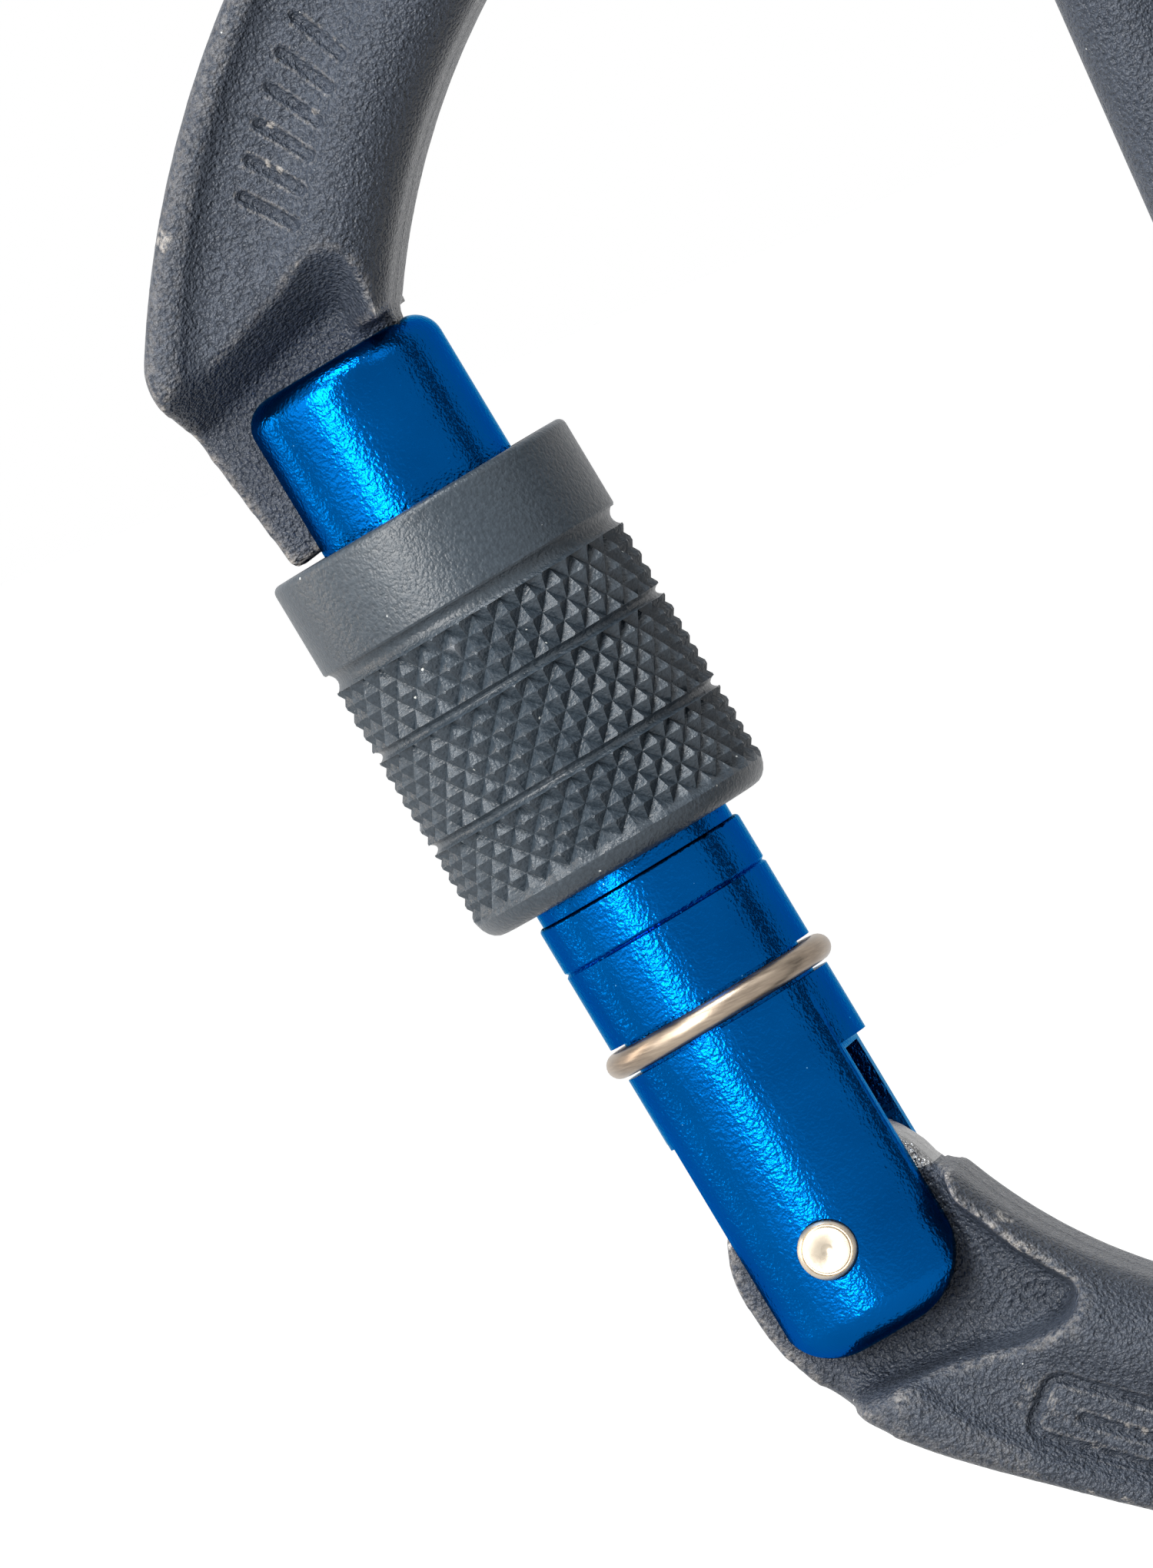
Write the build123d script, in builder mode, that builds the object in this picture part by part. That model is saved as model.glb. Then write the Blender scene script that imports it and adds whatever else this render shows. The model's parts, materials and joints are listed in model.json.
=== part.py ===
"""Screw-gate carabiner: a forged frame, a sprung gate on a rivet, and a knurled locking sleeve.

Millimetres. The frame lies in the XZ plane with its front face towards -Y, the spine upright on
the +X side and the nose up. The origin is the highest point inside the top bend.
"""

import os
from math import acos, cos, degrees, hypot, radians, sin, sqrt

from build123d import *

os.makedirs("parts", exist_ok=True)

# Frame, seen from the front
pin_to_spine = 30.6  # hinge pin to the inner face of the spine
gate_reach = 43.9  # hinge pin to the closed end of the gate
gate_tilt = 7.2  # lean of the gate away from the spine, degrees
bottom_drop = 10.9  # hinge pin down to the lowest point inside
body_width = 9.6
top_bend_r = 10.1
bottom_bend_r = 9.5
upper_arm_r = 34.0
upper_arm_end = 152.0  # angle of the upper arm's end round its own centre, degrees
lower_arm_r = 24.0
lower_arm_swell = 11.4  # how far before the bottom bend the arm starts to widen, degrees

# Frame, through its thickness
body_thick = 10.6
inner_round = 3.0
outer_round = 0.8
web_depth = 0.8
web_run = 1.7  # width of the slope from the flange down to the web
bead_run = 0.7  # width of the slope from the bead down to the web
bead_width = 0.9
flange_width = 3.4

# Nose
nose_thick = 3.4
nose_overhang = 3.5  # inner edge of the nose beyond the gate's axis
nose_tip_out = 5.85  # outer end of the nose's tip, out from the gate's axis
nose_width = 10.3  # width of the upper arm at its outer corner
nose_corner_angle = 157.0  # that corner's angle round the upper arm's centre, degrees
nose_corner_r = 2.6
scoop_slope = 33.0
scoop_round = 1.6
# Edge of the scoop, offsets from the root of the nose
scoop_ridge = (
    (-10.2, 0.4),
    (-4.3, 3.0),
    (-0.6, 4.2),
    (0.5, 2.1),
    (0.3, -1.0),
    (6.0, -12.0),
    (-18.0, -12.0),
    (-18.0, -3.0),
)

# Hinge tab
tab_thick = 3.6
ridge_round = 0.7
# Edge of the tab's flat face, offsets from the pin
tab_ridge = (
    (5.6, 9.0),
    (5.6, 0.4),
    (7.6, -3.2),
    (9.6, -5.9),
    (8.4, -7.0),
    (6.1, -7.3),
    (3.0, -6.9),
    (-0.9, -6.8),
    (-9.0, -8.4),
    (-9.0, 9.0),
)
tab_r = 4.9
cam_r = 5.5
cam_start = 84.0
cam_end = 57.0
lip_gap = 1.16  # from the gate's inner side to the inner edge of the lower arm
lip_step = 0.15
heel = ((9.15, 268.5), (6.0, 231.5))  # outer edge below the tab: radius and angle round the pin
tab_back = 187.0  # where the tab's round end runs into the heel, degrees
lip_slope = 10.0

# Gate
gate_offset = 0.6  # gate's axis inwards of the hinge pin
gate_r = 5.0
tube_step = 0.23  # from the barrel down to the tube
shoulder_gap = 0.65  # from the step up to the foot of the sleeve, at rest
top_round = 1.3
bottom_round = 1.6
shoulder_round = 0.2
nose_slot_depth = 7.5
ear_drop = 4.6
ear_inner_flat = 0.86
ear_outer_flat = 0.16
ear_top = 7.3
ear_corner = 3.2
tab_slot_top = 7.0
line_drop = 2.3  # from the step down to the turned line
line_depth = 0.12

# Locking sleeve
sleeve_r = 7.32
sleeve_length = 17.95
sleeve_drop = 7.2  # from the closed end of the gate down to the top of the sleeve, at rest
rim_length = 4.44
rim_bore_depth = 3.9
rim_wall = 0.8
rim_round = 0.35
rim_groove = 0.86
band_groove = 0.5
groove_depth = 0.42
bands = (3.05, 4.14, 3.25)
foot_r = 6.3

# Stop ring, rivet, plunger and spring
wire_r = 0.58
ring_drop = 6.8  # from the step down to the ring
rivet_r = 1.35
rivet_proud = 0.14
rivet_chamfer = 0.22
dimple_r = 0.28
plunger_r = 1.8
plunger_length = 5.0
plunger_nose_r = 1.1
spring_bore_top = 24.0
spring_wire = 0.5

# Clearances
slot_gap = 0.2  # each side of the tab and of the nose in their slots
swing_gap = 0.3  # between the gate and the frame as the gate swings
pin_gap = 0.05
sleeve_gap = 0.15
ring_gap = 0.07
ring_play = 0.17
plunger_gap = 0.05
cam_gap = 0.1
spring_gap = 0.1
nose_tip_gap = 0.12


def polar(centre, radius, angle):
    """Point at an angle round a centre, in the XZ plane."""
    return (
        centre[0] + radius * cos(radians(angle)),
        centre[1] + radius * sin(radians(angle)),
    )


def meet(first, first_r, second, second_r):
    """Where two circles cross, on the left going from the first centre to the second."""
    dx, dz = second[0] - first[0], second[1] - first[1]
    span = hypot(dx, dz)
    along = (first_r**2 - second_r**2 + span**2) / (2 * span)
    aside = sqrt(first_r**2 - along**2)
    return (
        first[0] + (along * dx - aside * dz) / span,
        first[1] + (along * dz + aside * dx) / span,
    )


def arc_about(centre, radius, start, end):
    """Arc round a centre from one angle to another."""
    return ThreePointArc(
        polar(centre, radius, start),
        polar(centre, radius, (start + end) / 2),
        polar(centre, radius, end),
    )


def angle_of(centre, point):
    """Angle of a point round a centre, 0 to 360 degrees."""
    flat = degrees(acos((point[0] - centre[0]) / hypot(point[0] - centre[0], point[1] - centre[1])))
    return flat if point[1] >= centre[1] else 360 - flat


# Bends and arms of the frame: the centres of the arcs
tilt = radians(gate_tilt)
tube_r = gate_r - tube_step
ear_inner = gate_r - ear_inner_flat
ear_outer = gate_r - ear_outer_flat
lip_reach = gate_offset + ear_inner + lip_gap
lip_r = lip_reach + lip_step
nose_in = gate_offset + nose_overhang
swing_r = hypot(gate_reach, gate_offset + tube_r) + swing_gap
root_up = sqrt(swing_r**2 - nose_in**2)
root_dx = nose_in * cos(tilt) - root_up * sin(tilt)
root_dz = nose_in * sin(tilt) + root_up * cos(tilt)
pin_x = top_bend_r - pin_to_spine
top_c = (0.0, -top_bend_r)
upper_x = pin_x + root_dx - upper_arm_r * cos(radians(upper_arm_end))
upper_c = (upper_x, top_c[1] - sqrt((upper_arm_r - top_bend_r) ** 2 - upper_x**2))
root = polar(upper_c, upper_arm_r, upper_arm_end)
pin = (pin_x, root[1] - root_dz)
bottom_c = (top_bend_r - bottom_bend_r, pin[1] - bottom_drop + bottom_bend_r)
lower_c = meet(pin, lower_arm_r + lip_reach, bottom_c, lower_arm_r - bottom_bend_r)
upper_join = angle_of(upper_c, top_c)
lower_join = angle_of(lower_c, bottom_c)
lip = meet(lower_c, lower_arm_r, pin, lip_r)
lip_angle = angle_of(lower_c, lip)


def by_pin(v, u):
    """Point at v inwards of the pin and u up along the gate, in the XZ plane."""
    return (pin[0] + v * cos(tilt) - u * sin(tilt), pin[1] + v * sin(tilt) + u * cos(tilt))


# The gate's own plane has its origin on the pin: x inwards, y up along the gate
gate_plane = Plane(
    origin=(pin[0], 0, pin[1]), x_dir=(cos(tilt), 0, sin(tilt)), z_dir=(0, -1, 0)
)
foot_of_axis = by_pin(gate_offset, 0)
gate_axis = Axis((foot_of_axis[0], 0, foot_of_axis[1]), (-sin(tilt), 0, cos(tilt)))
half = body_thick / 2
FAR = 60.0  # reaches past everything
sleeve_top = gate_reach - sleeve_drop
sleeve_rest = sleeve_top - sleeve_length
shoulder = sleeve_rest - shoulder_gap
ring_height = shoulder - ring_drop
line_height = shoulder - line_drop
ear_reach = hypot(gate_offset + ear_inner - ear_corner, ear_drop - ear_corner) + ear_corner
tip_r = hypot(sleeve_top, sleeve_r - gate_offset) + nose_tip_gap
half_tab = tab_thick / 2
half_nose = nose_thick / 2

# Corners of the frame's outline
outer_corner = polar(upper_c, upper_arm_r + nose_width, nose_corner_angle)
tip_out_v = gate_offset - nose_tip_out
tip_out = by_pin(tip_out_v, sqrt(tip_r**2 - tip_out_v**2))
tip_in = by_pin(nose_in, sqrt(tip_r**2 - nose_in**2))
tip_middle = by_pin((tip_out_v + nose_in) / 2, sqrt(tip_r**2 - ((tip_out_v + nose_in) / 2) ** 2))
lip_side = angle_of(pin, lip)
swell_start = lower_join - lower_arm_swell


def inner_edge(gap, start=upper_arm_end):
    """Inner boundary from the nose's root to the lip, moved outwards by a gap."""
    return [
        arc_about(upper_c, upper_arm_r + gap, start, upper_join),
        arc_about(top_c, top_bend_r + gap, upper_join, 0),
        Line((top_bend_r + gap, top_c[1]), (top_bend_r + gap, bottom_c[1])),
        arc_about(bottom_c, bottom_bend_r + gap, 360, lower_join),
        arc_about(lower_c, lower_arm_r + gap, lower_join, lip_angle),
    ]


def outer_edge():
    """Outer boundary from the hinge tab round the spine to the nose's outer corner."""
    tab_end = polar(pin, tab_r, tab_back)
    swell = polar(lower_c, lower_arm_r + body_width, swell_start)
    shoulder_point = polar(top_c, top_bend_r + body_width, upper_join)
    return [
        Spline(
            tab_end,
            *(polar(pin, r, angle) for r, angle in reversed(heel)),
            swell,
            tangents=[
                (-sin(radians(tab_back)), cos(radians(tab_back))),
                (-sin(radians(swell_start)), cos(radians(swell_start))),
            ],
        ),
        arc_about(lower_c, lower_arm_r + body_width, swell_start, lower_join),
        arc_about(bottom_c, bottom_bend_r + body_width, lower_join, 360),
        Line((top_bend_r + body_width, bottom_c[1]), (top_bend_r + body_width, top_c[1])),
        arc_about(top_c, top_bend_r + body_width, 0, upper_join),
        TangentArc(
            shoulder_point,
            outer_corner,
            tangent=(-sin(radians(upper_join)), cos(radians(upper_join))),
        ),
    ]


def tab_edge():
    """Round end of the hinge tab, with the cam that the plunger bears on."""
    back, front = cam_start + gate_tilt, cam_end + gate_tilt
    cam_middle = polar(pin, (tab_r + cam_r) / 2, (back + front) / 2)
    return [
        arc_about(pin, tab_r, tab_back, back),
        ThreePointArc(polar(pin, tab_r, back), cam_middle, polar(pin, cam_r, front)),
        arc_about(pin, cam_r, front, lip_side),
    ]


def edges_over(edges, lines):
    """The edges whose middles lie over some lines of the outline."""
    found = []
    for edge in edges:
        middle = edge @ 0.5
        spot = Vertex(middle.X, middle.Z, 0)
        if any(line.distance_to(spot) < 0.01 for line in lines):
            found.append(edge)
    return found


def offsets_from(base, points):
    """Points given by their offsets from a base point."""
    return [(base[0] + dx, base[1] + dz) for dx, dz in points]


# ---------------------------------------------------------------- frame
# The front half is made whole, then mirrored to the back
with BuildPart() as frame:
    with BuildSketch(Plane.XZ) as outline:
        with BuildLine():
            inner_lines = inner_edge(0)
            outer_lines = outer_edge()
            tab_edge()
            Line(polar(pin, cam_r, lip_side), lip)
            Line(outer_corner, tip_out)
            ThreePointArc(tip_out, tip_middle, tip_in)
            Line(tip_in, root)
        make_face()
        fillet(outline.vertices().sort_by_distance((*outer_corner, 0))[0], nose_corner_r)
    extrude(amount=half)
    rim = frame.faces().sort_by(Axis.Y)[0].edges()
    fillet(edges_over(rim, inner_lines), inner_round)
    rim = frame.faces().sort_by(Axis.Y)[0].edges()
    fillet(edges_over(rim, outer_lines), outer_round)

    # Shallow web between the flange that ropes bear on and the bead round the outside
    for share in (0, 1):
        with BuildSketch(Plane.XZ.offset(half - share * web_depth)):
            with BuildLine():
                near = inner_edge(flange_width + share * web_run)
                far = inner_edge(body_width - bead_width - share * bead_run, nose_corner_angle)
                Line(near[0] @ 0, far[0] @ 0)
                Line(near[-1] @ 1, far[-1] @ 1)
            make_face()
    loft(ruled=True, mode=Mode.SUBTRACT)

    # Scoop that brings the upper arm down to the thin nose
    with BuildSketch(Plane.XZ.offset(half)) as scoop:
        with BuildLine():
            Polyline(*offsets_from(root, scoop_ridge), close=True)
        make_face()
        fillet(scoop.vertices().sort_by_distance((*offsets_from(root, scoop_ridge)[2], 0))[0], scoop_round)
    extrude(amount=half_nose - half, taper=scoop_slope, mode=Mode.SUBTRACT)

    # Room for the closed end of the gate, as far as it swings
    with BuildSketch(Plane.XZ.offset(half_nose)):
        with Locations(pin):
            Circle(swing_r)
            Circle(tip_r - 1, mode=Mode.SUBTRACT)
        with Locations(by_pin(0, swing_r)):
            Rectangle(4 * gate_r, 4 * gate_r, rotation=gate_tilt, mode=Mode.INTERSECT)
    extrude(amount=half, mode=Mode.SUBTRACT)

    # Flat face of the hinge tab, and room for the ears
    with BuildSketch(Plane.XZ.offset(half)) as tab_face:
        with BuildLine():
            Polyline(*offsets_from(pin, tab_ridge), close=True)
        make_face()
        fillet(tab_face.vertices().sort_by_distance((*offsets_from(pin, tab_ridge)[3], 0))[0], ridge_round)
    extrude(amount=half_tab - half, taper=lip_slope, mode=Mode.SUBTRACT)
    with BuildSketch(Plane.XZ.offset(half_tab)):
        with Locations(pin):
            Circle(ear_reach + swing_gap)
    extrude(amount=half, mode=Mode.SUBTRACT)

    with BuildSketch(Plane.XZ):
        with Locations(pin):
            Circle(rivet_r + pin_gap)
    extrude(amount=half, mode=Mode.SUBTRACT)
    mirror(about=Plane.XZ)
frame.part.label = "frame"
export_step(frame.part, "parts/frame.step")

# ---------------------------------------------------------------- gate
groove_floor = gate_r - wire_r - ring_gap
groove_half = wire_r + ring_play
with BuildPart() as gate:
    with BuildSketch(gate_plane) as profile:
        with BuildLine():
            Polyline(
                (gate_offset, -ear_drop),
                (gate_offset + gate_r, -ear_drop),
                (gate_offset + gate_r, ring_height - groove_half),
                (gate_offset + groove_floor, ring_height - groove_half),
                (gate_offset + groove_floor, ring_height + groove_half),
                (gate_offset + gate_r, ring_height + groove_half),
                (gate_offset + gate_r, line_height - line_depth),
                (gate_offset + gate_r - line_depth, line_height),
                (gate_offset + gate_r, line_height + line_depth),
                (gate_offset + gate_r, shoulder),
                (gate_offset + tube_r, shoulder),
                (gate_offset + tube_r, gate_reach),
                (gate_offset, gate_reach),
                close=True,
            )
        make_face()
        for corner, radius in (
            ((gate_offset + gate_r, -ear_drop), bottom_round),
            ((gate_offset + tube_r, gate_reach), top_round),
            ((gate_offset + gate_r, shoulder), shoulder_round),
        ):
            fillet(profile.vertices().sort_by_distance((*corner, 0))[0], radius)
    revolve(axis=gate_axis)
    # The ears are flattened on both sides and rounded below
    with BuildSketch(gate_plane) as ears:
        with BuildLine():
            Polyline(
                (gate_offset - ear_outer, -ear_drop),
                (gate_offset + ear_inner, -ear_drop),
                (gate_offset + ear_inner, ear_top),
                (gate_offset + 2 * gate_r, ear_top),
                (gate_offset + 2 * gate_r, FAR),
                (gate_offset - 2 * gate_r, FAR),
                (gate_offset - 2 * gate_r, ear_top),
                (gate_offset - ear_outer, ear_top),
                close=True,
            )
        make_face()
        for side in (-ear_outer, ear_inner):
            fillet(ears.vertices().sort_by_distance((gate_offset + side, -ear_drop, 0))[0], ear_corner)
    extrude(amount=2 * gate_r, both=True, mode=Mode.INTERSECT)
    # Slot for the hinge tab
    with BuildSketch(gate_plane):
        with Locations((0, tab_slot_top - FAR / 2)):
            Rectangle(FAR, FAR)
    extrude(amount=half_tab + slot_gap, both=True, mode=Mode.SUBTRACT)
    # Slot for the nose, open to the outer side
    with BuildSketch(gate_plane):
        with Locations((nose_in + slot_gap - gate_r, gate_reach - nose_slot_depth + FAR / 2)):
            Rectangle(2 * gate_r, FAR)
    extrude(amount=half_nose + slot_gap, both=True, mode=Mode.SUBTRACT)
    # Bores for the rivet and for the spring plunger
    with BuildSketch(gate_plane):
        Circle(rivet_r)
    extrude(amount=2 * gate_r, both=True, mode=Mode.SUBTRACT)
    with BuildSketch(gate_plane):
        with BuildLine():
            Polyline(
                (gate_offset, 0),
                (gate_offset + plunger_r + plunger_gap, 0),
                (gate_offset + plunger_r + plunger_gap, spring_bore_top),
                (gate_offset, spring_bore_top),
                close=True,
            )
        make_face()
    revolve(axis=gate_axis, mode=Mode.SUBTRACT)
gate.part.label = "gate"
export_step(gate.part, "parts/gate.step")

# ---------------------------------------------------------------- locking sleeve
with BuildPart() as sleeve:
    skin = gate_offset + sleeve_r
    rim_foot = sleeve_top - rim_length
    with BuildSketch(gate_plane) as profile:
        with BuildLine():
            outside = [(skin, sleeve_top), (skin, rim_foot)]
            level = rim_foot
            for gap, band in zip((rim_groove, band_groove, band_groove), bands):
                outside += [(skin - groove_depth, level), (skin - groove_depth, level - gap)]
                outside += [(skin, level - gap), (skin, level - gap - band)]
                level -= gap + band
            Polyline(
                (gate_offset + gate_r + sleeve_gap, sleeve_rest),
                (gate_offset + gate_r + sleeve_gap, sleeve_top - rim_bore_depth),
                (skin - rim_wall, sleeve_top - rim_bore_depth),
                (skin - rim_wall, sleeve_top),
                *outside,
                (gate_offset + foot_r, sleeve_rest),
                close=True,
            )
        make_face()
        fillet(profile.vertices().sort_by_distance((skin, sleeve_top, 0))[0], rim_round)
    revolve(axis=gate_axis)
sleeve.part.label = "sleeve"
export_step(sleeve.part, "parts/sleeve.step")

# ---------------------------------------------------------------- stop ring
with BuildPart() as stop_ring:
    with BuildSketch(gate_plane):
        with Locations((gate_offset + gate_r, ring_height)):
            Circle(wire_r)
    revolve(axis=gate_axis)
stop_ring.part.label = "stop_ring"
export_step(stop_ring.part, "parts/stop_ring.step")

# ---------------------------------------------------------------- hinge rivet
with BuildPart() as hinge_rivet:
    with BuildSketch(gate_plane):
        Circle(rivet_r)
    extrude(amount=gate_r + rivet_proud, both=True)
    chamfer(hinge_rivet.edges().filter_by(GeomType.CIRCLE), rivet_chamfer)
    for end in hinge_rivet.faces().filter_by(Axis.Y):
        with BuildSketch(Plane(end)):
            Circle(dimple_r)
        extrude(amount=-dimple_r, taper=40, mode=Mode.SUBTRACT)
hinge_rivet.part.label = "hinge_rivet"
export_step(hinge_rivet.part, "parts/hinge_rivet.step")

# ---------------------------------------------------------------- spring plunger and gate spring
plunger_foot = tab_r + cam_gap
plunger_top = plunger_foot + plunger_length
with BuildPart() as spring_plunger:
    with BuildSketch(gate_plane) as profile:
        with BuildLine():
            Polyline(
                (gate_offset, plunger_foot),
                (gate_offset + plunger_r, plunger_foot),
                (gate_offset + plunger_r, plunger_top),
                (gate_offset, plunger_top),
                close=True,
            )
        make_face()
        fillet(
            profile.vertices().sort_by_distance((gate_offset + plunger_r, plunger_foot, 0))[0],
            plunger_nose_r,
        )
    revolve(axis=gate_axis)
spring_plunger.part.label = "spring_plunger"
export_step(spring_plunger.part, "parts/spring_plunger.step")

with BuildPart() as gate_spring:
    coil_r = plunger_r - spring_gap
    with BuildSketch(gate_plane):
        with BuildLine():
            Polyline(
                (gate_offset + coil_r - spring_wire, plunger_top),
                (gate_offset + coil_r, plunger_top),
                (gate_offset + coil_r, spring_bore_top),
                (gate_offset + coil_r - spring_wire, spring_bore_top),
                close=True,
            )
        make_face()
    revolve(axis=gate_axis)
gate_spring.part.label = "gate_spring"
export_step(gate_spring.part, "parts/gate_spring.step")
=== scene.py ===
"""Screw-gate carabiner: forged frame, anodised gate and knurled locking sleeve, in a pale studio.

Metres, in the CAD model's own frame: +Z up along the spine, front face towards -Y. Sizes along
the gate are heights above the hinge pin, and radii are taken from the gate's own axis.
"""

import json
import math

import bmesh
import bpy
from mathutils import Matrix, Vector, noise


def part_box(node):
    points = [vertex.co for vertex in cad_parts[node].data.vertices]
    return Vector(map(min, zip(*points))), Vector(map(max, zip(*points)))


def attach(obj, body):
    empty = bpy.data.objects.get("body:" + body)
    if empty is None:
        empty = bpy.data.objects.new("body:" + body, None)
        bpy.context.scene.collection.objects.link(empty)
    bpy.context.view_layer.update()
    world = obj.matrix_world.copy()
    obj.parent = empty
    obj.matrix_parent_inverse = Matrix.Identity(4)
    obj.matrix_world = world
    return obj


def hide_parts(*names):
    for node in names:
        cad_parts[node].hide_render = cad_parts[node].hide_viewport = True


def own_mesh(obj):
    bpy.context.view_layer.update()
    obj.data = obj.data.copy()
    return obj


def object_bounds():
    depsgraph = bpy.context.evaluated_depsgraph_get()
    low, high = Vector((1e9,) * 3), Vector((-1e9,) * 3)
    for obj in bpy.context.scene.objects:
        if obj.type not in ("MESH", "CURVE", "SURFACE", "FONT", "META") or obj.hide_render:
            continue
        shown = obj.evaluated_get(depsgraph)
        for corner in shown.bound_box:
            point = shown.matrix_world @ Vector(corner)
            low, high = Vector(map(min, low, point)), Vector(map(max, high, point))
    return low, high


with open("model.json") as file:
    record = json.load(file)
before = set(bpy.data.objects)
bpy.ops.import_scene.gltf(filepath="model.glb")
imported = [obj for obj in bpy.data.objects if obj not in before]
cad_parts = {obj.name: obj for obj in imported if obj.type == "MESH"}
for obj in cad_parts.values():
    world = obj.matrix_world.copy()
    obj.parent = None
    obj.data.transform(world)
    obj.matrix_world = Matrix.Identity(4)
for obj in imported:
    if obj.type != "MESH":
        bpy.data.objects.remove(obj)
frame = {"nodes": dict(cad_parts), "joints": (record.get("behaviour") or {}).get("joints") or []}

MM = 0.001
cad_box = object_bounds()
joints = {joint["name"]: joint for joint in frame["joints"]}
PIN = Vector(joints["gate_hinge"]["pos_m"])
RING = Vector(joints["sleeve_turn"]["pos_m"])
UP = Vector(joints["sleeve_turn"]["axis"]).normalized()
INWARDS = Vector((0, 1, 0)).cross(UP)
RING_HEIGHT = (RING - PIN).dot(UP)
AXIS_FOOT = RING - UP * RING_HEIGHT
# Takes a piece that was made upright about the Z axis to the gate, with height 0 level with the pin
GATE = Matrix.Translation(AXIS_FOOT) @ Matrix((INWARDS, (0, 1, 0), UP)).transposed().to_4x4()
UPRIGHT = GATE.inverted()  # and back

# Locking sleeve
RIM_LENGTH = 4.44 * MM
RIM_GROOVE = 0.86 * MM
RIM_WALL = 0.8 * MM
RIM_BORE = 3.9 * MM  # depth of the wider bore inside the rim
RIM_CHAMFER = (0.12 * MM, 0.15 * MM)  # the rim's inner edge, across and along the gate
RIM_ROUND = 0.35 * MM
RIM_BREAK = 0.1 * MM
BAND_GROOVE = 0.5 * MM
GROOVE_DEPTH = 0.42 * MM
GROOVE_RISE = 0.22 * MM  # how much shallower a groove is at its sides
GROOVE_STEPS = 6
ROUND_STEPS = 5
BANDS = ((3.05 * MM, 4), (4.14 * MM, 6), (3.25 * MM, 5))  # length, half diamonds along it
BORE_R = 5.15 * MM
FOOT_R = 6.3 * MM
FOOT_INSET = 0.12 * MM
FOOT_STEPS = 6
DIAMONDS_ROUND = 32
KNURL_INSET = 0.06 * MM  # how far inside the rim's radius the diamonds' points stand
KNURL_REACH = 0.1 * MM  # a point further in than this is no part of the diamonds
KNURL_DEPTH = 0.44 * MM
DIAMOND_FLAT = 0.11 * MM
DENT_SIZE = 0.9 * MM  # handling dents in the diamonds
DENT_DEPTH = 0.035 * MM
DENT_REACH = 0.45 * MM
SAME_HEIGHT = 0.002 * MM  # a point this near to a row belongs to it
BAND_MARGIN = 0.01 * MM

# Gate, and what is in it and on it
EDGE_BREAK = 0.12 * MM
THREAD = (22.3 * MM, 32.4 * MM)
THREAD_ROOT_R = 4.7 * MM
THREAD_CREST_R = 5.07 * MM
THREAD_HALF_ROOT = 0.42 * MM
THREAD_HALF_CREST = 0.13 * MM
THREAD_LEAD = 2.4 * MM
THREAD_STEPS = 64  # steps in one turn
SPRING_TURNS = 9
SPRING_STEPS = 32
SPRING_WIRE_R = 0.25 * MM
SPRING_WIRE_SIDES = 12
RING_STEPS = 120
RING_WIRE_SIDES = 24
RIVET_STEPS = 64
# Centre mark of the rivet: radius, depth under the face
RIVET_MARK = ((0.0001 * MM, 0.2 * MM), (0.24 * MM, 0.03 * MM), (0.3 * MM, 0.0))
# Groove and chamfer of the rivet: distance in from its edge, depth under the face
RIVET_RIM = (
    (0.36 * MM, 0.03 * MM), (0.32 * MM, 0.12 * MM), (0.26 * MM, 0.12 * MM),
    (0.22 * MM, 0.05 * MM), (0.03 * MM, 0.24 * MM), (0.0, 0.3 * MM),
)

# Forged frame
GRID = 0.32 * MM
SOFTEN_PASSES = 5
PLATE_PASSES = 2  # the thin plates are softened less
SEAM_HEIGHT = 0.045 * MM
SEAM_WIDTH = 0.22 * MM
SIDE_TURN = 0.35  # a side face's normal leans no more than this towards the front or the back
FACING = (-0.5, -0.4)  # Y of the normals of faces, and of points, that face the front
NOSE_TIP = 33.0 * MM  # heights between which the nose is a thin plate
NOSE_ROOT = 43.0 * MM
NOSE_HALF = 7.0 * MM
TIP_LENGTHENED = 0.16 * MM  # gives the nose back the length that softening takes
TIP_FADE = (37.2 * MM, 38.5 * MM)
TAB_REACH = 5.6 * MM
PLATE_HALF = 1.95 * MM
RIDGE_END = (PIN.x - 2.0 * MM, PIN.z - 7.1 * MM)  # where the tab's ridge runs out in the heel
RIDGE_FADE = 2.0 * MM
RIDGE_PASSES = 25
CAM_START = 4.6 * MM  # the round edge that the plunger bears on, radii about the pin
CAM_REACH = 5.75 * MM
CAM_LOW = 1.5 * MM

# Marks pressed into the front: radii and angles are about the centre of each arm's arcs
UPPER_ARM = (8.0 * MM, -32.6 * MM)  # X and Z
LOWER_ARM = (7.07 * MM, -49.57 * MM)
BAR_COUNT = 6
BAR_RADII = (38.1 * MM, 40.6 * MM)
BAR_START = 134.3
BAR_STEP = 2.3
BAR_LEAN = 0.5
PANEL_R = 30.5 * MM
PANEL_ANGLE = 231.0
PANEL_HALF = (3.6 * MM, 1.35 * MM)
PANEL_ROUND = 0.7 * MM
CORNER_STEPS = 4
PANEL_LINE = 3.0  # degrees to each side of the panel's middle
STAMP_DEPTH = 0.26 * MM
STROKE = 0.21 * MM  # half the width of a pressed line
STROKE_EDGE = (0.55 * STROKE, 1.55 * STROKE)  # where a line's side starts to rise, and ends
STROKE_ZONE = 2.2 * STROKE
FRONT = -3.0 * MM  # Y in front of which the marks lie


# ------------------------------------------------------------------ mesh tools
def span(node):
    """Lowest height, highest height and largest radius of a CAD node on the gate."""
    spots = [UPRIGHT @ v.co for v in frame["nodes"][node].data.vertices]
    heights = [spot.z for spot in spots]
    return min(heights), max(heights), max(math.hypot(spot.x, spot.y) for spot in spots)


def merged(node):
    """A copy of a CAD node's mesh with its loose triangles joined."""
    bm = bmesh.new()
    bm.from_mesh(frame["nodes"][node].data)
    bmesh.ops.remove_doubles(bm, verts=bm.verts, dist=0.0005 * MM)
    return bm


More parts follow.
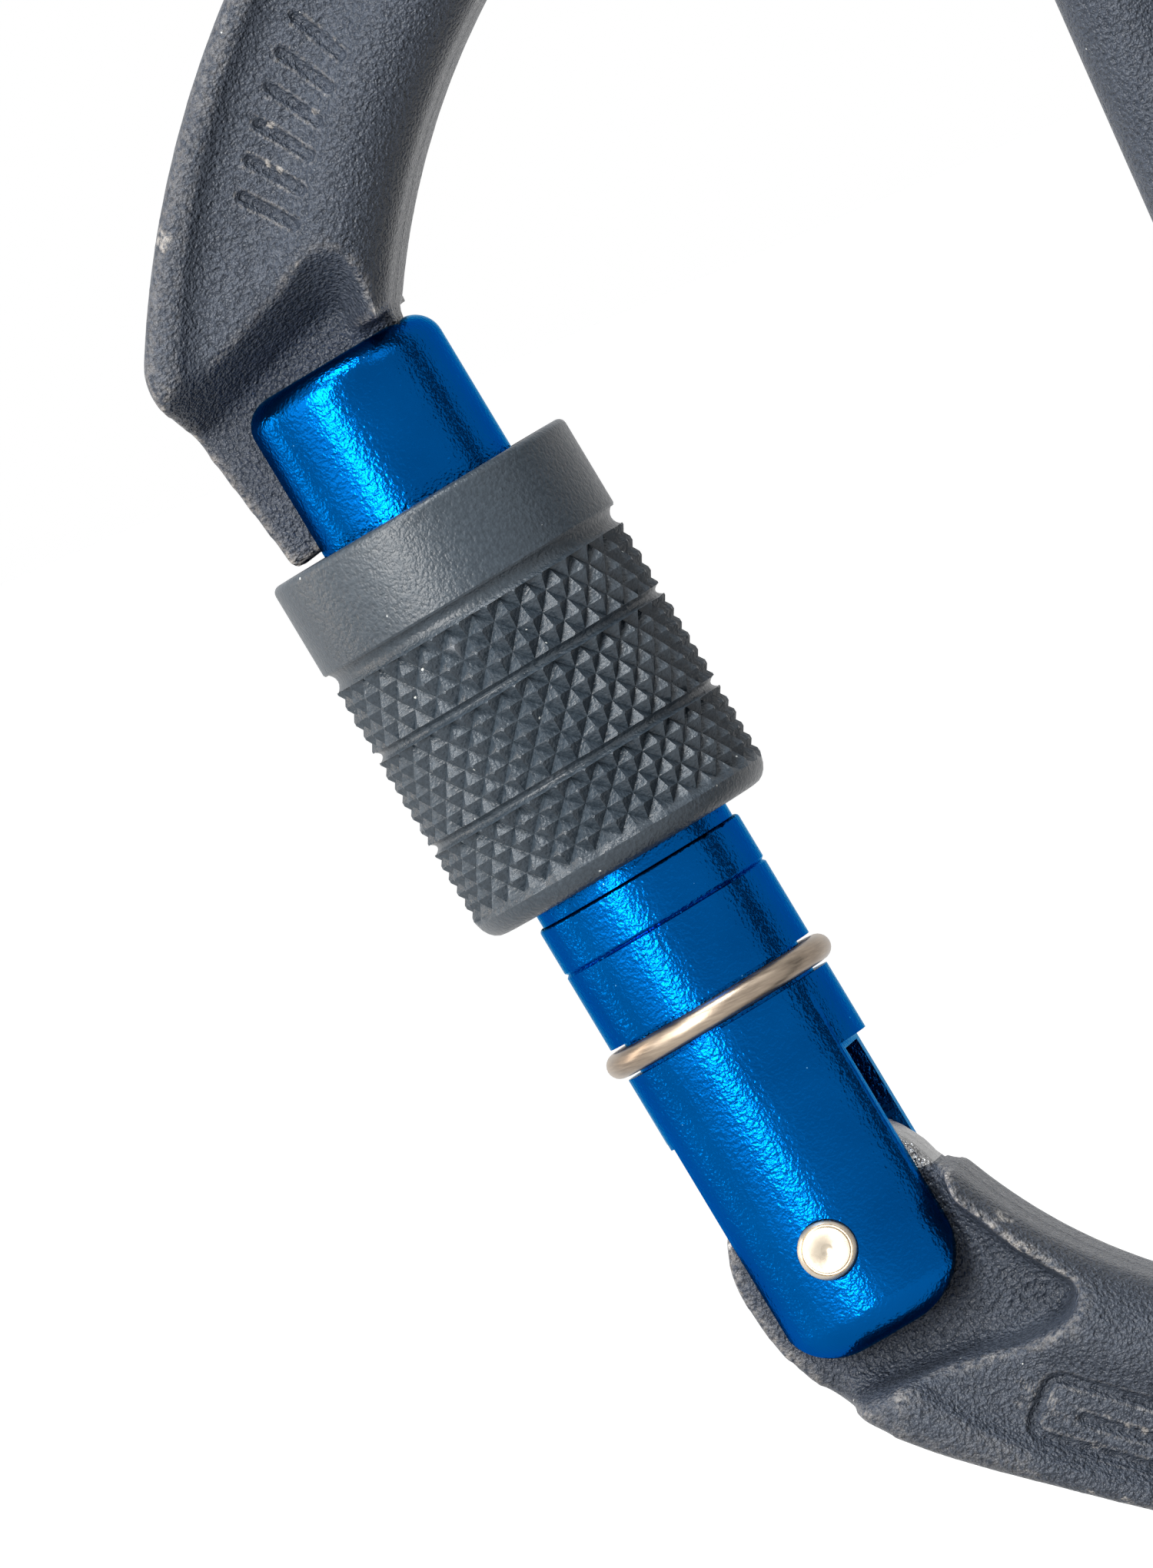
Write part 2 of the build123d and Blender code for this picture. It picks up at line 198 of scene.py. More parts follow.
def steady_order(bm):
    """Sorts faces and edges by their points, since a spin leaves them in no fixed order."""
    bm.verts.index_update()
    count = len(bm.verts)
    bm.faces.sort(key=lambda face: face.verts[0].index * count + face.verts[1].index)
    bm.edges.sort(key=lambda edge: edge.verts[0].index * count + edge.verts[1].index)


def turned(profile, steps):
    """Ring or sleeve spun about the Z axis from a closed outline of (radius, height)."""
    bm = bmesh.new()
    verts = [bm.verts.new((radius, 0, height)) for radius, height in profile]
    edges = [bm.edges.new(pair) for pair in zip(verts, verts[1:] + verts[:1])]
    bmesh.ops.spin(
        bm, geom=verts + edges, cent=(0, 0, 0), axis=(0, 0, 1), angle=2 * math.pi,
        steps=steps, use_merge=True,
    )
    bmesh.ops.remove_doubles(bm, verts=bm.verts, dist=0.0005 * MM)
    bmesh.ops.recalc_face_normals(bm, faces=bm.faces)
    steady_order(bm)
    return bm


def finished(name, bm, material, body, node=None, crease=30.0):
    """Turns a bmesh into a piece that rides on a body and may stand for a CAD node."""
    mesh = bpy.data.meshes.new(name)
    bm.to_mesh(mesh)
    bm.free()
    for face in mesh.polygons:
        face.use_smooth = True
    mesh.set_sharp_from_angle(angle=math.radians(crease))
    mesh.materials.append(material)
    made = placed(name, mesh)
    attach(made, body)
    if node:
        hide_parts(node)
    return made


def arc(centre, radius, start, end, count):
    """Points round a centre from one angle to another, in degrees."""
    angles = [math.radians(start + (end - start) * k / count) for k in range(count + 1)]
    return [
        (centre[0] + radius * math.cos(a), centre[1] + radius * math.sin(a)) for a in angles
    ]


def circle(centre, radius, count):
    """Points of a closed circle."""
    return arc(centre, radius, 0, 360 - 360 / count, count - 1)


def soften(bm, verts, passes):
    """Evens out a stretch of the mesh."""
    for _ in range(passes):
        bmesh.ops.smooth_vert(
            bm, verts=verts, factor=0.5, use_axis_x=True, use_axis_y=True, use_axis_z=True
        )


def rotate(bm, angle, axis):
    """Turns a whole bmesh about one of its axes."""
    turn = Matrix.Rotation(angle, 3, axis)
    bmesh.ops.rotate(bm, verts=bm.verts, cent=(0, 0, 0), matrix=turn)


def placed(name, data):
    """A new object in the scene that shows a mesh, a camera or a light."""
    made = bpy.data.objects.new(name, data)
    bpy.context.scene.collection.objects.link(made)
    return made


# ------------------------------------------------------------------ materials
FLOAT = "NodeSocketFloat"
COLOUR = "NodeSocketColor"
VECTOR = "NodeSocketVector"
MIX_SHARE, MIX_FIRST, MIX_SECOND, MIX_RESULT = 0, 6, 7, 2  # a Mix node's sockets for colours


def feed(tree, socket, value):
    """Links a socket to another one, or sets its value."""
    if isinstance(value, bpy.types.NodeSocket):
        tree.links.new(value, socket)
    else:
        socket.default_value = value


def node_group(name, inputs, outputs):
    """An empty shader group, with its inputs and outputs named."""
    group = bpy.data.node_groups.new(name, "ShaderNodeTree")
    for label, kind, value in inputs:
        socket = group.interface.new_socket(label, in_out="INPUT", socket_type=kind)
        if value is not None:
            socket.default_value = value
    for label, kind in outputs:
        group.interface.new_socket(label, in_out="OUTPUT", socket_type=kind)
    return group, group.nodes.new("NodeGroupInput"), group.nodes.new("NodeGroupOutput")


def math_node(tree, operation, *values):
    """A Math node with each input linked or set."""
    node = tree.nodes.new("ShaderNodeMath")
    node.operation = operation
    for socket, value in zip(node.inputs, values):
        feed(tree, socket, value)
    return node.outputs[0]


def noise_node(tree, vector, scale, detail, roughness=0.5):
    """Height of a noise pattern, 0 to 1."""
    node = tree.nodes.new("ShaderNodeTexNoise")
    tree.links.new(vector, node.inputs["Vector"])
    for label, value in (("Scale", scale), ("Detail", detail), ("Roughness", roughness)):
        feed(tree, node.inputs[label], value)
    return node.outputs["Fac"]


def mix_colour(tree, share, first, second):
    """Blend of two colours, each linked or set."""
    node = tree.nodes.new("ShaderNodeMix")
    node.data_type = "RGBA"
    for place, value in ((MIX_SHARE, share), (MIX_FIRST, first), (MIX_SECOND, second)):
        feed(tree, node.inputs[place], value)
    return node.outputs[MIX_RESULT]


def ramp(tree, value, low, high):
    """0 below low, 1 above high, straight between."""
    node = tree.nodes.new("ShaderNodeMapRange")
    tree.links.new(value, node.inputs["Value"])
    node.inputs["From Min"].default_value = low
    node.inputs["From Max"].default_value = high
    return node.outputs["Result"]


def peel_group():
    """Orange-peel and fine grain of a coated or anodised skin."""
    group, source, sink = node_group(
        "coating_grain",
        [("Vector", VECTOR, None), ("Peel Scale", FLOAT, 5200.0),
         ("Grain Scale", FLOAT, 9000.0), ("Grain Share", FLOAT, 0.5)],
        [("Height", FLOAT), ("Tone", FLOAT), ("Speckle", FLOAT)],
    )
    vector = source.outputs["Vector"]
    peel = noise_node(group, vector, source.outputs["Peel Scale"], detail=1.0)
    group.links.new(ramp(group, peel, low=0.3, high=0.7), sink.inputs["Speckle"])
    grain = noise_node(group, vector, source.outputs["Grain Scale"], detail=1.0)
    fine = math_node(group, "MULTIPLY", grain, source.outputs["Grain Share"])
    group.links.new(math_node(group, "ADD", peel, fine), sink.inputs["Height"])
    group.links.new(noise_node(group, vector, scale=260.0, detail=3.0), sink.inputs["Tone"])
    return group


def dust_group():
    """Pale dust specks scattered over a colour."""
    group, source, sink = node_group(
        "dust_specks",
        [("Vector", VECTOR, None), ("Colour", COLOUR, (0.1, 0.1, 0.1, 1)),
         ("Dust", COLOUR, (0.6, 0.62, 0.6, 1)), ("Scale", FLOAT, 900.0),
         ("Size", FLOAT, 0.035), ("Patch", FLOAT, 0.52)],
        [("Colour", COLOUR)],
    )
    cells = group.nodes.new("ShaderNodeTexVoronoi")
    group.links.new(source.outputs["Vector"], cells.inputs["Vector"])
    group.links.new(source.outputs["Scale"], cells.inputs["Scale"])
    near = math_node(group, "LESS_THAN", cells.outputs["Distance"], source.outputs["Size"])
    chosen = noise_node(group, source.outputs["Vector"], scale=900.0, detail=1.0)
    there = math_node(group, "GREATER_THAN", chosen, source.outputs["Patch"])
    mask = math_node(group, "MULTIPLY", near, there)
    colour = mix_colour(group, mask, source.outputs["Colour"], source.outputs["Dust"])
    group.links.new(colour, sink.inputs["Colour"])
    return group


def wear_and_highlight_group():
    """Paler colour on the raised edges of a dense mesh, broken up by a pattern: partly worn coating,
    partly painted highlight.
    """
    group, source, sink = node_group(
        "edge_wear_and_highlight",
        [("Vector", VECTOR, None), ("Colour", COLOUR, (0.1, 0.1, 0.1, 1)),
         ("Worn", COLOUR, (0.3, 0.3, 0.3, 1)), ("Low", FLOAT, 0.52),
         ("High", FLOAT, 0.58), ("Share", FLOAT, 0.8)],
        [("Colour", COLOUR)],
    )
    edge = group.nodes.new("ShaderNodeNewGeometry")
    reach = group.nodes.new("ShaderNodeMapRange")
    group.links.new(edge.outputs["Pointiness"], reach.inputs["Value"])
    group.links.new(source.outputs["Low"], reach.inputs["From Min"])
    group.links.new(source.outputs["High"], reach.inputs["From Max"])
    broken = noise_node(group, source.outputs["Vector"], scale=3600.0, detail=2.0)
    broken = ramp(group, broken, low=0.38, high=0.62)
    mask = math_node(group, "MULTIPLY", reach.outputs["Result"], broken)
    mask = math_node(group, "MULTIPLY", mask, source.outputs["Share"])
    colour = mix_colour(group, mask, source.outputs["Colour"], source.outputs["Worn"])
    group.links.new(colour, sink.inputs["Colour"])
    return group


GRAIN = peel_group()
DUST = dust_group()
WEAR_AND_HIGHLIGHT = wear_and_highlight_group()


def add_group(tree, group, vector, **values):
    """Places a shared group in a material, with its own values."""
    node = tree.nodes.new("ShaderNodeGroup")
    node.node_tree = group
    tree.links.new(vector, node.inputs["Vector"])
    for label, value in values.items():
        feed(tree, node.inputs[label.replace("_", " ")], value)
    return node.outputs


def new_material(name, metallic, specular=0.5):
    """A material with its node tree, its shader and its Object coordinates."""
    material = bpy.data.materials.new(name)
    material.use_nodes = True
    tree = material.node_tree
    shader = tree.nodes["Principled BSDF"]
    shader.inputs["Metallic"].default_value = metallic
    shader.inputs["Specular IOR Level"].default_value = specular
    vector = tree.nodes.new("ShaderNodeTexCoord").outputs["Object"]
    return material, tree, shader, vector


def bump(tree, shader, height, distance):
    """Raises the surface by a height pattern."""
    node = tree.nodes.new("ShaderNodeBump")
    node.inputs["Strength"].default_value = 1.0
    node.inputs["Distance"].default_value = distance
    tree.links.new(height, node.inputs["Height"])
    tree.links.new(node.outputs["Normal"], shader.inputs["Normal"])


def uneven_roughness(tree, shader, pattern, change, least):
    """Roughness that grows with a pattern, from its least value."""
    rough = math_node(tree, "MULTIPLY_ADD", pattern, change, least)
    tree.links.new(rough, shader.inputs["Roughness"])


def plunger_track(tree, vector):
    """1 on the round edge of the hinge tab, where the plunger rubs, and 0 elsewhere."""
    hinge = tree.nodes.new("ShaderNodeMapping")
    hinge.inputs["Location"].default_value = -PIN
    tree.links.new(vector, hinge.inputs["Vector"])
    parts = tree.nodes.new("ShaderNodeSeparateXYZ")
    tree.links.new(hinge.outputs["Vector"], parts.inputs["Vector"])
    flat = math_node(tree, "POWER", parts.outputs["X"], 2.0)
    tall = math_node(tree, "POWER", parts.outputs["Z"], 2.0)
    reach = math_node(tree, "SQRT", math_node(tree, "ADD", flat, tall))
    outside = math_node(tree, "GREATER_THAN", reach, CAM_START)
    near = math_node(tree, "LESS_THAN", reach, CAM_REACH)
    above = math_node(tree, "GREATER_THAN", parts.outputs["Z"], CAM_LOW)
    return math_node(tree, "MULTIPLY", math_node(tree, "MULTIPLY", outside, near), above)


def frame_coating():
    """Matt blue-grey coating on the forging, rubbed down to bare metal where the plunger bears."""
    material, tree, shader, vector = new_material("frame_coating", metallic=0.0, specular=0.24)
    grain = add_group(tree, GRAIN, vector, Peel_Scale=5200.0, Grain_Scale=9000.0, Grain_Share=0.5)
    speckle = math_node(tree, "MULTIPLY", grain["Speckle"], 2.0)
    tone = ramp(tree, math_node(tree, "ADD", grain["Tone"], speckle), low=0.5, high=2.5)
    colour = mix_colour(tree, tone, (0.022, 0.028, 0.04, 1), (0.052, 0.062, 0.082, 1))
    # Pointed edges take a paler colour: partly edge wear, partly painted highlight on the outer bead
    # and the ridges.
    worn_and_lit = add_group(
        tree, WEAR_AND_HIGHLIGHT, vector, Colour=colour, Worn=(0.36, 0.34, 0.32, 1), Low=0.512, High=0.57, Share=0.8
    )
    dusty = add_group(tree, DUST, vector, Colour=worn_and_lit["Colour"], Scale=900.0, Size=0.035, Patch=0.52)
    bare = plunger_track(tree, vector)
    steel = mix_colour(tree, bare, dusty["Colour"], (0.3, 0.3, 0.3, 1))
    tree.links.new(steel, shader.inputs["Base Color"])
    tree.links.new(bare, shader.inputs["Metallic"])
    uneven_roughness(tree, shader, grain["Speckle"], change=0.14, least=0.25)
    bump(tree, shader, grain["Height"], 0.17 * MM)
    return material


def gate_anodised():
    """Satin blue anodised aluminium with a soft orange peel."""
    material, tree, shader, vector = new_material("gate_anodised", metallic=1.0)
    shader.inputs["Specular Tint"].default_value = (0.0, 0.5, 0.85, 1)
    grain = add_group(tree, GRAIN, vector, Peel_Scale=4600.0, Grain_Scale=9000.0, Grain_Share=0.5)
    tone = ramp(tree, grain["Tone"], low=0.3, high=0.7)
    colour = mix_colour(tree, tone, (0.0002, 0.058, 0.22, 1), (0.0003, 0.07, 0.26, 1))
    dusty = add_group(
        tree, DUST, vector, Colour=colour, Dust=(0.1, 0.35, 0.65, 1), Scale=900.0, Size=0.035,
        Patch=0.52,
    )
    tree.links.new(dusty["Colour"], shader.inputs["Base Color"])
    uneven_roughness(tree, shader, grain["Tone"], change=0.06, least=0.18)
    bump(tree, shader, grain["Height"], 0.03 * MM)
    return material


def sleeve_coating():
    """Matt dark grey coating on the knurled sleeve."""
    material, tree, shader, vector = new_material("sleeve_coating", metallic=0.0, specular=0.45)
    grain = add_group(tree, GRAIN, vector, Peel_Scale=5200.0, Grain_Scale=9000.0, Grain_Share=0.5)
    tone = math_node(tree, "ADD", grain["Tone"], grain["Speckle"])
    tone = ramp(tree, tone, low=0.4, high=1.6)
    colour = mix_colour(tree, tone, (0.018, 0.027, 0.037, 1), (0.034, 0.047, 0.061, 1))
    # The diamonds' points take a paler colour: partly edge wear, partly painted highlight where the
    # facets would catch the light.
    worn_and_lit = add_group(
        tree, WEAR_AND_HIGHLIGHT, vector, Colour=colour, Worn=(0.26, 0.28, 0.31, 1), Low=0.56, High=0.75, Share=0.8
    )
    dusty = add_group(tree, DUST, vector, Colour=worn_and_lit["Colour"], Scale=800.0, Size=0.045, Patch=0.5)
    tree.links.new(dusty["Colour"], shader.inputs["Base Color"])
    uneven_roughness(tree, shader, grain["Speckle"], change=0.12, least=0.32)
    bump(tree, shader, grain["Height"], 0.04 * MM)
    return material


def bare_metal(name, dark, light, roughness, scratch):
    """Bare metal with fine scratches that run one way."""
    material, tree, shader, vector = new_material(name, metallic=1.0)
    grain = add_group(tree, GRAIN, vector, Peel_Scale=2200.0, Grain_Scale=9000.0, Grain_Share=0.4)
    stretch = tree.nodes.new("ShaderNodeMapping")
    stretch.inputs["Scale"].default_value = scratch
    tree.links.new(vector, stretch.inputs["Vector"])
    lines = noise_node(tree, stretch.outputs["Vector"], scale=1.0, detail=3.0, roughness=0.6)
    tone = math_node(tree, "MULTIPLY", math_node(tree, "ADD", grain["Tone"], lines), 0.5)
    colour = mix_colour(tree, ramp(tree, tone, low=0.38, high=0.62), dark, light)
    tree.links.new(colour, shader.inputs["Base Color"])
    uneven_roughness(tree, shader, lines, change=0.2, least=roughness - 0.1)
    bump(tree, shader, math_node(tree, "ADD", grain["Height"], lines), 0.004 * MM)
    return material


FRAME_SKIN = frame_coating()
GATE_SKIN = gate_anodised()
SLEEVE_SKIN = sleeve_coating()
RING_METAL = bare_metal(
    "ring_wire", (0.22, 0.175, 0.135, 1), (0.38, 0.31, 0.24, 1), 0.34, (900, 900, 9000)
)
RIVET_METAL = bare_metal(
    "rivet_steel", (0.5, 0.43, 0.34, 1), (0.58, 0.51, 0.41, 1), 0.3, (1500, 400, 1500)
)
SPRING_METAL = bare_metal(
    "spring_steel", (0.35, 0.35, 0.35, 1), (0.5, 0.5, 0.5, 1), 0.3, (900, 900, 6000)
)


# ------------------------------------------------------------------ forged frame
def to_stroke(point, stroke):
    """Distance from a point to the nearest part of a line through several points."""
    gaps = []
    for start, end in zip(stroke, stroke[1:]):
        run = end - start
        share = max(0.0, min(1.0, (point - start).dot(run) / run.length_squared))
        gaps.append((point - start - run * share).length)
    return min(gaps)


def round_arm(centre, radius, angle):
    """A point on the front of an arm, at a radius and an angle round the arm's own centre."""
    turn = math.radians(angle)
    return Vector((centre[0] + radius * math.cos(turn), centre[1] + radius * math.sin(turn)))


def round_panel(centre, radius, angle, half, corner):
    """Closed outline of a round-cornered panel that follows an arm."""
    corners = ((1, 1, 0), (-1, 1, 90), (-1, -1, 180), (1, -1, 270))
    points = []
    for along, out, start in corners:
        middle = (along * (half[0] - corner), out * (half[1] - corner))
        points += arc(middle, corner, start, start + 90, CORNER_STEPS)
    outline = [
        round_arm(centre, radius + out, angle + math.degrees(along / radius)) for along, out in points
    ]
    return outline + outline[:1]


def stamped_lines():
    """A row of plain bars on the upper arm, and a round-cornered panel on the lower arm."""
    lines = []
    for k in range(BAR_COUNT):
        angle = BAR_START + BAR_STEP * k
        lines.append([
            round_arm(UPPER_ARM, BAR_RADII[0], angle + BAR_LEAN),
            round_arm(UPPER_ARM, BAR_RADII[1], angle - BAR_LEAN),
        ])
    lines.append(round_panel(LOWER_ARM, PANEL_R, PANEL_ANGLE, PANEL_HALF, PANEL_ROUND))
    within = (PANEL_ANGLE - PANEL_LINE, PANEL_ANGLE, PANEL_ANGLE + PANEL_LINE)
    lines.append([round_arm(LOWER_ARM, PANEL_R, angle) for angle in within])
    return lines


def smooth_step(value, low, high):
    """0 below low, 1 above high, eased between."""
    share = max(0.0, min(1.0, (value - low) / (high - low)))
    return share * share * (3 - 2 * share)


def stamp(bm, lines):
    """Presses soft-edged lines into the front face."""
    zones = []
    for line in lines:
        xs = [p.x for p in line]
        zs = [p.y for p in line]
        zones.append((
            min(xs) - STROKE_ZONE, max(xs) + STROKE_ZONE, min(zs) - STROKE_ZONE, max(zs) + STROKE_ZONE
        ))

    def zones_at(co):
        if co.y > FRONT:
            return []
        return [k for k, z in enumerate(zones) if z[0] < co.x < z[1] and z[2] < co.z < z[3]]

    near = [f for f in bm.faces if f.normal.y < FACING[0] and zones_at(f.calc_center_median())]
    edges = list({e for f in near for e in f.edges})
    bmesh.ops.subdivide_edges(bm, edges=edges, cuts=2, use_grid_fill=True)
    bm.normal_update()
    for vert in bm.verts:
        found = zones_at(vert.co)
        if not found or vert.normal.y > FACING[1]:
            continue
        flat = Vector((vert.co.x, vert.co.z))
        gap = min(to_stroke(flat, lines[k]) for k in found)
        vert.co.y += STAMP_DEPTH * (1 - smooth_step(gap, *STROKE_EDGE))


def on_plate(co):
    """Whether a point of the frame is on the thin nose or on the hinge tab."""
    spot = UPRIGHT @ co
    nose = NOSE_TIP < spot.z < NOSE_ROOT and abs(spot.x) < NOSE_HALF
    tab = math.hypot(co.x - PIN.x, co.z - PIN.z) < TAB_REACH
    return abs(spot.y) < PLATE_HALF and (nose or tab)


def remeshed(node, voxel):
    """A CAD node's shape as one even mesh of small squares."""
    rough = bpy.data.meshes.new("blank")
    bm = merged(node)
    bm.to_mesh(rough)
    bm.free()
    blank = placed("blank", rough)
    remesh = blank.modifiers.new("remesh", "REMESH")
    remesh.mode = "VOXEL"
    remesh.voxel_size = voxel
    ready = blank.evaluated_get(bpy.context.evaluated_depsgraph_get())
    bm = bmesh.new()
    bm.from_mesh(ready.to_mesh())
    bpy.data.objects.remove(blank)
    return bm


def soften_forging(bm):
    """Rounds the edges, less on the thin plates and more where the tab's ridge runs out."""
    thick = [vert for vert in bm.verts if not on_plate(vert.co)]
    soften(bm, bm.verts, PLATE_PASSES)
    soften(bm, thick, SOFTEN_PASSES - PLATE_PASSES)
    ridge_end = [
        vert for vert in bm.verts
        if math.hypot(vert.co.x - RIDGE_END[0], vert.co.z - RIDGE_END[1]) < RIDGE_FADE
    ]
    soften(bm, ridge_end, RIDGE_PASSES)
    for vert in bm.verts:
        height = (UPRIGHT @ vert.co).z
        if on_plate(vert.co) and height < NOSE_ROOT:
            vert.co -= UP * TIP_LENGTHENED * (1 - smooth_step(height, *TIP_FADE))


def raise_seam(bm):
    """The faint line that the two halves of the forging die leave round the edge."""
    bm.normal_update()
    for vert in bm.verts:
        if abs(vert.normal.y) < SIDE_TURN:
            vert.co += vert.normal * SEAM_HEIGHT * math.exp(-((vert.co.y / SEAM_WIDTH) ** 2))


def forged_frame():
    """The frame's shape with a forging's soft edges, a faint seam and pressed marks."""
    bm = remeshed("frame", GRID)
    soften_forging(bm)
    raise_seam(bm)
    stamp(bm, stamped_lines())
    return finished(
        "forged_frame", bm, FRAME_SKIN, "frame_body", "frame", crease=180
    )


forged_frame()


# ------------------------------------------------------------------ locking sleeve
def sleeve_outline(bottom, top, outer):
    """Outline of the sleeve, and the heights of the rows that carry the diamonds."""
    low = outer - GROOVE_DEPTH
    knurled = outer - KNURL_INSET
    inner = outer - RIM_WALL
    across, along = RIM_CHAMFER
    points = [(BORE_R, bottom), (BORE_R, top - RIM_BORE)]
    points += [(inner, top - RIM_BORE), (inner, top - along), (inner + across, top)]
    points += arc((outer - RIM_ROUND, top - RIM_ROUND), RIM_ROUND, 90, 0, ROUND_STEPS)
    level = top - RIM_LENGTH
    points += [(outer, level + RIM_BREAK), (knurled, level)]
    rows = []
    for gap, (length, count) in zip((RIM_GROOVE, BAND_GROOVE, BAND_GROOVE), BANDS):
        middle = level - gap / 2
        steps = [-1 + 2 * k / GROOVE_STEPS for k in range(GROOVE_STEPS + 1)]
        points += [(low + GROOVE_RISE * s * s, middle - s * gap / 2) for s in steps]
        level -= gap
        for k in range(count + 1):
            rows.append(level - length * k / count)
            points.append((knurled, rows[-1]))
        level -= length
    fall = [math.radians(90 * k / FOOT_STEPS) for k in range(1, FOOT_STEPS + 1)]
    reach = outer - FOOT_INSET - FOOT_R
    points += [
        (FOOT_R + reach * math.cos(a), level - (level - bottom) * math.sin(a)) for a in fall
    ]
    return points, rows


def knurled_sleeve():
    """Turned sleeve with three bands of raised diamonds between smooth grooves."""
    bottom, top, outer = span("sleeve")
    points, rows = sleeve_outline(bottom, top, outer)
    steps = 2 * DIAMONDS_ROUND
    bm = turned(points, steps)
    lows, peaks = [], []
    for vert in bm.verts:
        row = [k for k, height in enumerate(rows) if abs(vert.co.z - height) < SAME_HEIGHT]
        if not row or math.hypot(vert.co.x, vert.co.y) < outer - KNURL_REACH:
            continue
        turn = round(math.atan2(vert.co.y, vert.co.x) / (2 * math.pi) * steps)
        (lows if (turn + row[0]) % 2 else peaks).append(vert)
    for vert in lows:
        flat = Vector((vert.co.x, vert.co.y, 0)).normalized()
        vert.co -= flat * KNURL_DEPTH
    bmesh.ops.connect_verts(bm, verts=lows)
    bmesh.ops.bevel(
        bm, geom=peaks, offset=DIAMOND_FLAT, offset_type="OFFSET", affect="VERTICES", segments=1,
        profile=0.5, material=-1,
    )
    for vert in bm.verts:
        on_band = rows[-1] - BAND_MARGIN < vert.co.z < rows[0] + BAND_MARGIN
        if on_band and math.hypot(vert.co.x, vert.co.y) > outer - DENT_REACH:
            vert.co += noise.noise_vector(vert.co / DENT_SIZE) * DENT_DEPTH
    bm.transform(GATE)
    return finished(
        "knurled_sleeve", bm, SLEEVE_SKIN, "sleeve_body", "sleeve", crease=26
    )


knurled_sleeve()


# ------------------------------------------------------------------ gate
def gate_shell():
    """The gate's own shape with its sharp edges broken."""
    bm = merged("gate")
    bmesh.ops.dissolve_limit(bm, angle_limit=math.radians(0.6), verts=bm.verts, edges=bm.edges)
    made = finished("gate_shell", bm, GATE_SKIN, "gate_body", "gate", crease=25)
    bevel = made.modifiers.new("broken_edges", "BEVEL")
    bevel.width = EDGE_BREAK
    bevel.segments = 2
    bevel.limit_method = "ANGLE"
    bevel.angle_limit = math.radians(40)
    bevel.use_clamp_overlap = True
    weighted = made.modifiers.new("even_shading", "WEIGHTED_NORMAL")
    weighted.keep_sharp = True
    return made


def spun_wire(outline, turns, rise, steps):
    """A closed outline wound up the Z axis, with both ends capped."""
    bm = bmesh.new()
    verts = [bm.verts.new((radius, 0, height)) for radius, height in outline]
    first = bm.faces.new(verts)
    whole = [first, *first.edges, *first.verts]
    bmesh.ops.spin(
        bm, geom=whole, cent=(0, 0, 0), axis=(0, 0, 1), dvec=(0, 0, rise / steps),
        angle=2 * math.pi * turns, steps=steps,
    )
    bmesh.ops.remove_doubles(bm, verts=bm.verts, dist=0.0005 * MM)
    bmesh.ops.recalc_face_normals(bm, faces=bm.faces)
    steady_order(bm)
    return bm


def gate_thread(name, start):
    """One of the two starts of the thread that the sleeve runs on."""
    low, high = THREAD
    ridge = [
        (THREAD_ROOT_R, low - THREAD_HALF_ROOT), (THREAD_CREST_R, low - THREAD_HALF_CREST),
        (THREAD_CREST_R, low + THREAD_HALF_CREST), (THREAD_ROOT_R, low + THREAD_HALF_ROOT),
    ]
    turns = (high - low) / THREAD_LEAD
    bm = spun_wire(ridge, turns, high - low, int(THREAD_STEPS * turns))
    rotate(bm, start, "Z")
    bm.transform(GATE)
    return finished(name, bm, GATE_SKIN, "gate_body")


def closing_spring():
    """Wire coil that presses the plunger against the hinge tab."""
    low, high, outer = span("gate_spring")
    wire = SPRING_WIRE_R
    outline = circle((outer - wire, low + wire), wire, SPRING_WIRE_SIDES)
    bm = spun_wire(outline, SPRING_TURNS, high - low - 2 * wire, SPRING_STEPS * SPRING_TURNS)
    bm.transform(GATE)
    made = finished(
        "closing_spring", bm, SPRING_METAL, "gate_body", "gate_spring", crease=60
    )
    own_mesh(made)
    return made


gate_shell()
gate_thread("gate_thread_a", 0.0)
gate_thread("gate_thread_b", math.pi)
closing_spring()


# ------------------------------------------------------------------ ring and rivet
def stop_ring_wire():
    """Wire ring that the sleeve's foot stops on."""
    low, high, outer = span("stop_ring")
    wire = (high - low) / 2
    outline = circle((outer - wire, (low + high) / 2), wire, RING_WIRE_SIDES)
    bm = turned(outline, RING_STEPS)
    bm.transform(GATE)
    return finished(
        "stop_ring_wire", bm, RING_METAL, "ring_body", "stop_ring", crease=60
    )


def rivet_pin():
    """Hinge rivet: a slightly domed face inside a chamfered rim, with a centre mark."""
    low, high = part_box("hinge_rivet")
    length = (high.y - low.y) / 2
    radius = (high.x - low.x) / 2
    half = [(out, length - under) for out, under in RIVET_MARK]
    half += [(radius - back, length - under) for back, under in RIVET_RIM]
    outline = half + [(r, -h) for r, h in reversed(half)]
    bm = turned(outline, RIVET_STEPS)
    rotate(bm, math.pi / 2, "X")
    bmesh.ops.translate(bm, verts=bm.verts, vec=PIN)
    return finished(
        "rivet_pin", bm, RIVET_METAL, "gate_body", "hinge_rivet", crease=40
    )


stop_ring_wire()
rivet_pin()
plunger = frame["nodes"]["spring_plunger"].data  # keeps its CAD shape
plunger.materials.clear()
plunger.materials.append(SPRING_METAL)


# ------------------------------------------------------------------ studio
CAMERA_AZIMUTH = math.radians(9.0)
CAMERA_HEIGHT = math.radians(2.0)
CAMERA_ROLL = math.radians(23.85)
CAMERA_DISTANCE = 1.2
VIEW_HEIGHT = 67.55 * MM
AIM = PIN + Vector((-1.77, -5.14, 22.75)) * MM
WORLD_LIGHT = (0.05, 0.055, 0.065, 1)  # what the surroundings give to matt surfaces
WORLD_SEEN = (1, 1, 1, 1)
FLOOR_HALF = 3.0
FLOOR_GLOW = 0.9
